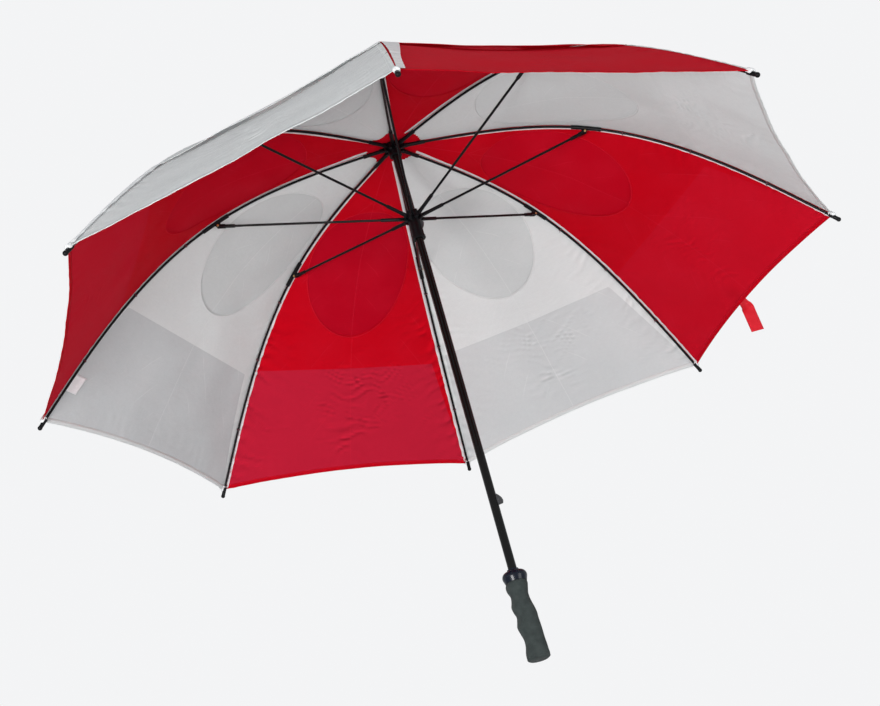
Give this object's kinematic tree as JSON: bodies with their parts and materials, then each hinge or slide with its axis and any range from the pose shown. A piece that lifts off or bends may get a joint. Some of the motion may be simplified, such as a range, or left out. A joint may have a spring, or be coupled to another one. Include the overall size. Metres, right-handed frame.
{
  "type": "golf umbrella",
  "caption": "Large open golf umbrella with alternating red and white gores, a vented double canopy, sprung black ribs and stretchers, a sliding runner and a moulded foam grip.",
  "frame": {"origin": "centre of the grip's lower end, on the shaft's axis", "axes": "+Z along the shaft, from the grip to the ferrule; rib 1 along +X"},
  "size_m": [1.3054, 1.3054, 0.958],
  "materials": {
    "red_cloth": "plain-woven pongee, soft sheen",
    "white_cloth": "plain-woven pongee, soft sheen",
    "label_cloth": "satin ribbon, matt",
    "rib_black": "fibreglass rod with satin plastic sleeves",
    "black_plastic": "glossy moulded plastic",
    "shaft_gloss": "glossy fibreglass tube",
    "collar_gloss": "glossy moulded plastic, slightly navy",
    "catch_plastic": "satin moulded plastic",
    "grip_foam": "matt foam",
    "steel": "bright wire"
  },
  "bodies": {
    "shaft_frame": {"shaft": "shaft_gloss", "shaft_plug": "black_plastic", "crown": "black_plastic", "crown_wire": "steel", "crown_pin": "steel", "stop_pin": "steel", "rosette": "red_cloth", "ferrule": "black_plastic", "ferrule_washer": "black_plastic", "handle_collar": "collar_gloss", "grip": "grip_foam", "top_catch_spring": "steel", "bottom_catch_spring": "steel"},
    "runner": {"runner": "black_plastic", "runner_wire": "steel"},
    "top_catch": {"top_catch": "catch_plastic"},
    "bottom_catch": {"bottom_catch": "catch_plastic"},
    "rib_inner_1": {"rib_inner_1": "rib_black"},
    "rib_outer_1": {"rib_outer_1": "rib_black"},
    "stretcher_1": {"stretcher_1": "rib_black"},
    "canopy_inner_1": {"canopy_inner_1": "red_cloth"},
    "canopy_outer_1": {"canopy_outer_1": "red_cloth", "tie_strap": "red_cloth"},
    "rib_inner_2": {"rib_inner_2": "rib_black"},
    "rib_outer_2": {"rib_outer_2": "rib_black"},
    "stretcher_2": {"stretcher_2": "rib_black"},
    "canopy_inner_2": {"canopy_inner_2": "white_cloth"},
    "canopy_outer_2": {"canopy_outer_2": "white_cloth"},
    "rib_inner_3": {"rib_inner_3": "rib_black"},
    "rib_outer_3": {"rib_outer_3": "rib_black"},
    "stretcher_3": {"stretcher_3": "rib_black"},
    "canopy_inner_3": {"canopy_inner_3": "red_cloth"},
    "canopy_outer_3": {"canopy_outer_3": "red_cloth"},
    "rib_inner_4": {"rib_inner_4": "rib_black"},
    "rib_outer_4": {"rib_outer_4": "rib_black"},
    "stretcher_4": {"stretcher_4": "rib_black"},
    "canopy_inner_4": {"canopy_inner_4": "white_cloth"},
    "canopy_outer_4": {"canopy_outer_4": "white_cloth", "care_label": "label_cloth"},
    "rib_inner_5": {"rib_inner_5": "rib_black"},
    "rib_outer_5": {"rib_outer_5": "rib_black"},
    "stretcher_5": {"stretcher_5": "rib_black"},
    "canopy_inner_5": {"canopy_inner_5": "red_cloth"},
    "canopy_outer_5": {"canopy_outer_5": "red_cloth"},
    "rib_inner_6": {"rib_inner_6": "rib_black"},
    "rib_outer_6": {"rib_outer_6": "rib_black"},
    "stretcher_6": {"stretcher_6": "rib_black"},
    "canopy_inner_6": {"canopy_inner_6": "white_cloth"},
    "canopy_outer_6": {"canopy_outer_6": "white_cloth"},
    "rib_inner_7": {"rib_inner_7": "rib_black"},
    "rib_outer_7": {"rib_outer_7": "rib_black"},
    "stretcher_7": {"stretcher_7": "rib_black"},
    "canopy_inner_7": {"canopy_inner_7": "red_cloth"},
    "canopy_outer_7": {"canopy_outer_7": "red_cloth"},
    "rib_inner_8": {"rib_inner_8": "rib_black"},
    "rib_outer_8": {"rib_outer_8": "rib_black"},
    "stretcher_8": {"stretcher_8": "rib_black"},
    "canopy_inner_8": {"canopy_inner_8": "white_cloth"},
    "canopy_outer_8": {"canopy_outer_8": "white_cloth"}
  },
  "joints": [
    {"name": "runner_slide", "type": "slide", "parent": "shaft_frame", "child": "runner", "axis": [0, 0, 1], "range_m": [-0.47625, 0]},
    {"name": "top_catch_press", "type": "slide", "parent": "shaft_frame", "child": "top_catch", "axis": [0.9239, -0.3827, 0], "range_m": [-0.0078, 0], "stiffness_N_per_m": 400, "springref_m": 0.004, "deforming": ["top_catch_spring"]},
    {"name": "bottom_catch_press", "type": "slide", "parent": "shaft_frame", "child": "bottom_catch", "axis": [0.9239, -0.3827, 0], "range_m": [-0.0078, 0], "stiffness_N_per_m": 400, "springref_m": 0.004, "deforming": ["bottom_catch_spring"]},
    {"name": "rib_1_hinge", "type": "hinge", "parent": "shaft_frame", "child": "rib_inner_1", "pos_m": [0.013, 0, 0.892], "axis": [0, 1, 0], "range_deg": [0, 76.59]},
    {"name": "rib_1_flex", "type": "hinge", "parent": "rib_inner_1", "child": "rib_outer_1", "pos_m": [0.32346, 0, 0.83618], "axis": [0, 1, 0], "range_deg": [-27.02, 0]},
    {"name": "stretcher_1_hinge", "type": "hinge", "parent": "rib_inner_1", "child": "stretcher_1", "pos_m": [0.31362, 0, 0.82844], "axis": [0, 1, 0], "range_deg": [-150.79, 0]},
    {"name": "canopy_1_fold", "type": "hinge", "parent": "shaft_frame", "child": "canopy_inner_1", "pos_m": [0.0111, 0.0046, 0.896], "axis": [-0.3827, 0.9239, 0], "range_deg": [0, 75.19], "deforming": ["canopy_inner_1"]},
    {"name": "canopy_1_crease", "type": "hinge", "parent": "canopy_inner_1", "child": "canopy_outer_1", "pos_m": [0.27165, 0.11252, 0.8394], "axis": [-0.3827, 0.9239, 0], "range_deg": [-27.19, 0], "deforming": ["canopy_outer_1", "tie_strap"]},
    {"name": "rib_2_hinge", "type": "hinge", "parent": "shaft_frame", "child": "rib_inner_2", "pos_m": [0.00919, 0.00919, 0.892], "axis": [-0.7071, 0.7071, 0], "range_deg": [0, 76.59]},
    {"name": "rib_2_flex", "type": "hinge", "parent": "rib_inner_2", "child": "rib_outer_2", "pos_m": [0.22872, 0.22872, 0.83618], "axis": [-0.7071, 0.7071, 0], "range_deg": [-27.02, 0]},
    {"name": "stretcher_2_hinge", "type": "hinge", "parent": "rib_inner_2", "child": "stretcher_2", "pos_m": [0.22177, 0.22177, 0.82844], "axis": [-0.7071, 0.7071, 0], "range_deg": [-150.79, 0]},
    {"name": "canopy_2_fold", "type": "hinge", "parent": "shaft_frame", "child": "canopy_inner_2", "pos_m": [0.0046, 0.0111, 0.896], "axis": [-0.9239, 0.3827, 0], "range_deg": [0, 75.19], "deforming": ["canopy_inner_2"]},
    {"name": "canopy_2_crease", "type": "hinge", "parent": "canopy_inner_2", "child": "canopy_outer_2", "pos_m": [0.11252, 0.27165, 0.8394], "axis": [-0.9239, 0.3827, 0], "range_deg": [-27.19, 0], "deforming": ["canopy_outer_2"]},
    {"name": "rib_3_hinge", "type": "hinge", "parent": "shaft_frame", "child": "rib_inner_3", "pos_m": [0, 0.013, 0.892], "axis": [-1, 0, 0], "range_deg": [0, 76.59]},
    {"name": "rib_3_flex", "type": "hinge", "parent": "rib_inner_3", "child": "rib_outer_3", "pos_m": [0, 0.32346, 0.83618], "axis": [-1, 0, 0], "range_deg": [-27.02, 0]},
    {"name": "stretcher_3_hinge", "type": "hinge", "parent": "rib_inner_3", "child": "stretcher_3", "pos_m": [0, 0.31362, 0.82844], "axis": [-1, 0, 0], "range_deg": [-150.79, 0]},
    {"name": "canopy_3_fold", "type": "hinge", "parent": "shaft_frame", "child": "canopy_inner_3", "pos_m": [-0.0046, 0.0111, 0.896], "axis": [-0.9239, -0.3827, 0], "range_deg": [0, 75.19], "deforming": ["canopy_inner_3"]},
    {"name": "canopy_3_crease", "type": "hinge", "parent": "canopy_inner_3", "child": "canopy_outer_3", "pos_m": [-0.11252, 0.27165, 0.8394], "axis": [-0.9239, -0.3827, 0], "range_deg": [-27.19, 0], "deforming": ["canopy_outer_3"]},
    {"name": "rib_4_hinge", "type": "hinge", "parent": "shaft_frame", "child": "rib_inner_4", "pos_m": [-0.00919, 0.00919, 0.892], "axis": [-0.7071, -0.7071, 0], "range_deg": [0, 76.59]},
    {"name": "rib_4_flex", "type": "hinge", "parent": "rib_inner_4", "child": "rib_outer_4", "pos_m": [-0.22872, 0.22872, 0.83618], "axis": [-0.7071, -0.7071, 0], "range_deg": [-27.02, 0]},
    {"name": "stretcher_4_hinge", "type": "hinge", "parent": "rib_inner_4", "child": "stretcher_4", "pos_m": [-0.22177, 0.22177, 0.82844], "axis": [-0.7071, -0.7071, 0], "range_deg": [-150.79, 0]},
    {"name": "canopy_4_fold", "type": "hinge", "parent": "shaft_frame", "child": "canopy_inner_4", "pos_m": [-0.0111, 0.0046, 0.896], "axis": [-0.3827, -0.9239, 0], "range_deg": [0, 75.19], "deforming": ["canopy_inner_4"]},
    {"name": "canopy_4_crease", "type": "hinge", "parent": "canopy_inner_4", "child": "canopy_outer_4", "pos_m": [-0.27165, 0.11252, 0.8394], "axis": [-0.3827, -0.9239, 0], "range_deg": [-27.19, 0], "deforming": ["canopy_outer_4", "care_label"]},
    {"name": "rib_5_hinge", "type": "hinge", "parent": "shaft_frame", "child": "rib_inner_5", "pos_m": [-0.013, 0, 0.892], "axis": [0, -1, 0], "range_deg": [0, 76.59]},
    {"name": "rib_5_flex", "type": "hinge", "parent": "rib_inner_5", "child": "rib_outer_5", "pos_m": [-0.32346, 0, 0.83618], "axis": [0, -1, 0], "range_deg": [-27.02, 0]},
    {"name": "stretcher_5_hinge", "type": "hinge", "parent": "rib_inner_5", "child": "stretcher_5", "pos_m": [-0.31362, 0, 0.82844], "axis": [0, -1, 0], "range_deg": [-150.79, 0]},
    {"name": "canopy_5_fold", "type": "hinge", "parent": "shaft_frame", "child": "canopy_inner_5", "pos_m": [-0.0111, -0.0046, 0.896], "axis": [0.3827, -0.9239, 0], "range_deg": [0, 75.19], "deforming": ["canopy_inner_5"]},
    {"name": "canopy_5_crease", "type": "hinge", "parent": "canopy_inner_5", "child": "canopy_outer_5", "pos_m": [-0.27165, -0.11252, 0.8394], "axis": [0.3827, -0.9239, 0], "range_deg": [-27.19, 0], "deforming": ["canopy_outer_5"]},
    {"name": "rib_6_hinge", "type": "hinge", "parent": "shaft_frame", "child": "rib_inner_6", "pos_m": [-0.00919, -0.00919, 0.892], "axis": [0.7071, -0.7071, 0], "range_deg": [0, 76.59]},
    {"name": "rib_6_flex", "type": "hinge", "parent": "rib_inner_6", "child": "rib_outer_6", "pos_m": [-0.22872, -0.22872, 0.83618], "axis": [0.7071, -0.7071, 0], "range_deg": [-27.02, 0]},
    {"name": "stretcher_6_hinge", "type": "hinge", "parent": "rib_inner_6", "child": "stretcher_6", "pos_m": [-0.22177, -0.22177, 0.82844], "axis": [0.7071, -0.7071, 0], "range_deg": [-150.79, 0]},
    {"name": "canopy_6_fold", "type": "hinge", "parent": "shaft_frame", "child": "canopy_inner_6", "pos_m": [-0.0046, -0.0111, 0.896], "axis": [0.9239, -0.3827, 0], "range_deg": [0, 75.19], "deforming": ["canopy_inner_6"]},
    {"name": "canopy_6_crease", "type": "hinge", "parent": "canopy_inner_6", "child": "canopy_outer_6", "pos_m": [-0.11252, -0.27165, 0.8394], "axis": [0.9239, -0.3827, 0], "range_deg": [-27.19, 0], "deforming": ["canopy_outer_6"]},
    {"name": "rib_7_hinge", "type": "hinge", "parent": "shaft_frame", "child": "rib_inner_7", "pos_m": [0, -0.013, 0.892], "axis": [1, 0, 0], "range_deg": [0, 76.59]},
    {"name": "rib_7_flex", "type": "hinge", "parent": "rib_inner_7", "child": "rib_outer_7", "pos_m": [0, -0.32346, 0.83618], "axis": [1, 0, 0], "range_deg": [-27.02, 0]},
    {"name": "stretcher_7_hinge", "type": "hinge", "parent": "rib_inner_7", "child": "stretcher_7", "pos_m": [0, -0.31362, 0.82844], "axis": [1, 0, 0], "range_deg": [-150.79, 0]},
    {"name": "canopy_7_fold", "type": "hinge", "parent": "shaft_frame", "child": "canopy_inner_7", "pos_m": [0.0046, -0.0111, 0.896], "axis": [0.9239, 0.3827, 0], "range_deg": [0, 75.19], "deforming": ["canopy_inner_7"]},
    {"name": "canopy_7_crease", "type": "hinge", "parent": "canopy_inner_7", "child": "canopy_outer_7", "pos_m": [0.11252, -0.27165, 0.8394], "axis": [0.9239, 0.3827, 0], "range_deg": [-27.19, 0], "deforming": ["canopy_outer_7"]},
    {"name": "rib_8_hinge", "type": "hinge", "parent": "shaft_frame", "child": "rib_inner_8", "pos_m": [0.00919, -0.00919, 0.892], "axis": [0.7071, 0.7071, 0], "range_deg": [0, 76.59]},
    {"name": "rib_8_flex", "type": "hinge", "parent": "rib_inner_8", "child": "rib_outer_8", "pos_m": [0.22872, -0.22872, 0.83618], "axis": [0.7071, 0.7071, 0], "range_deg": [-27.02, 0]},
    {"name": "stretcher_8_hinge", "type": "hinge", "parent": "rib_inner_8", "child": "stretcher_8", "pos_m": [0.22177, -0.22177, 0.82844], "axis": [0.7071, 0.7071, 0], "range_deg": [-150.79, 0]},
    {"name": "canopy_8_fold", "type": "hinge", "parent": "shaft_frame", "child": "canopy_inner_8", "pos_m": [0.0111, -0.0046, 0.896], "axis": [0.3827, 0.9239, 0], "range_deg": [0, 75.19], "deforming": ["canopy_inner_8"]},
    {"name": "canopy_8_crease", "type": "hinge", "parent": "canopy_inner_8", "child": "canopy_outer_8", "pos_m": [0.27165, -0.11252, 0.8394], "axis": [0.3827, 0.9239, 0], "range_deg": [-27.19, 0], "deforming": ["canopy_outer_8"]}
  ],
  "couplings": [
    {"joint": "rib_1_hinge", "follows": "runner_slide", "rad_per_m": -2.8061},
    {"joint": "rib_1_flex", "follows": "runner_slide", "rad_per_m": 0.98958},
    {"joint": "stretcher_1_hinge", "follows": "runner_slide", "rad_per_m": 5.5252},
    {"joint": "canopy_1_fold", "follows": "runner_slide", "rad_per_m": -2.7546},
    {"joint": "canopy_1_crease", "follows": "runner_slide", "rad_per_m": 0.99574},
    {"joint": "rib_2_hinge", "follows": "runner_slide", "rad_per_m": -2.8061},
    {"joint": "rib_2_flex", "follows": "runner_slide", "rad_per_m": 0.98958},
    {"joint": "stretcher_2_hinge", "follows": "runner_slide", "rad_per_m": 5.5252},
    {"joint": "canopy_2_fold", "follows": "runner_slide", "rad_per_m": -2.7546},
    {"joint": "canopy_2_crease", "follows": "runner_slide", "rad_per_m": 0.99574},
    {"joint": "rib_3_hinge", "follows": "runner_slide", "rad_per_m": -2.8061},
    {"joint": "rib_3_flex", "follows": "runner_slide", "rad_per_m": 0.98958},
    {"joint": "stretcher_3_hinge", "follows": "runner_slide", "rad_per_m": 5.5252},
    {"joint": "canopy_3_fold", "follows": "runner_slide", "rad_per_m": -2.7546},
    {"joint": "canopy_3_crease", "follows": "runner_slide", "rad_per_m": 0.99574},
    {"joint": "rib_4_hinge", "follows": "runner_slide", "rad_per_m": -2.8061},
    {"joint": "rib_4_flex", "follows": "runner_slide", "rad_per_m": 0.98958},
    {"joint": "stretcher_4_hinge", "follows": "runner_slide", "rad_per_m": 5.5252},
    {"joint": "canopy_4_fold", "follows": "runner_slide", "rad_per_m": -2.7546},
    {"joint": "canopy_4_crease", "follows": "runner_slide", "rad_per_m": 0.99574},
    {"joint": "rib_5_hinge", "follows": "runner_slide", "rad_per_m": -2.8061},
    {"joint": "rib_5_flex", "follows": "runner_slide", "rad_per_m": 0.98958},
    {"joint": "stretcher_5_hinge", "follows": "runner_slide", "rad_per_m": 5.5252},
    {"joint": "canopy_5_fold", "follows": "runner_slide", "rad_per_m": -2.7546},
    {"joint": "canopy_5_crease", "follows": "runner_slide", "rad_per_m": 0.99574},
    {"joint": "rib_6_hinge", "follows": "runner_slide", "rad_per_m": -2.8061},
    {"joint": "rib_6_flex", "follows": "runner_slide", "rad_per_m": 0.98958},
    {"joint": "stretcher_6_hinge", "follows": "runner_slide", "rad_per_m": 5.5252},
    {"joint": "canopy_6_fold", "follows": "runner_slide", "rad_per_m": -2.7546},
    {"joint": "canopy_6_crease", "follows": "runner_slide", "rad_per_m": 0.99574},
    {"joint": "rib_7_hinge", "follows": "runner_slide", "rad_per_m": -2.8061},
    {"joint": "rib_7_flex", "follows": "runner_slide", "rad_per_m": 0.98958},
    {"joint": "stretcher_7_hinge", "follows": "runner_slide", "rad_per_m": 5.5252},
    {"joint": "canopy_7_fold", "follows": "runner_slide", "rad_per_m": -2.7546},
    {"joint": "canopy_7_crease", "follows": "runner_slide", "rad_per_m": 0.99574},
    {"joint": "rib_8_hinge", "follows": "runner_slide", "rad_per_m": -2.8061},
    {"joint": "rib_8_flex", "follows": "runner_slide", "rad_per_m": 0.98958},
    {"joint": "stretcher_8_hinge", "follows": "runner_slide", "rad_per_m": 5.5252},
    {"joint": "canopy_8_fold", "follows": "runner_slide", "rad_per_m": -2.7546},
    {"joint": "canopy_8_crease", "follows": "runner_slide", "rad_per_m": 0.99574}
  ]
}
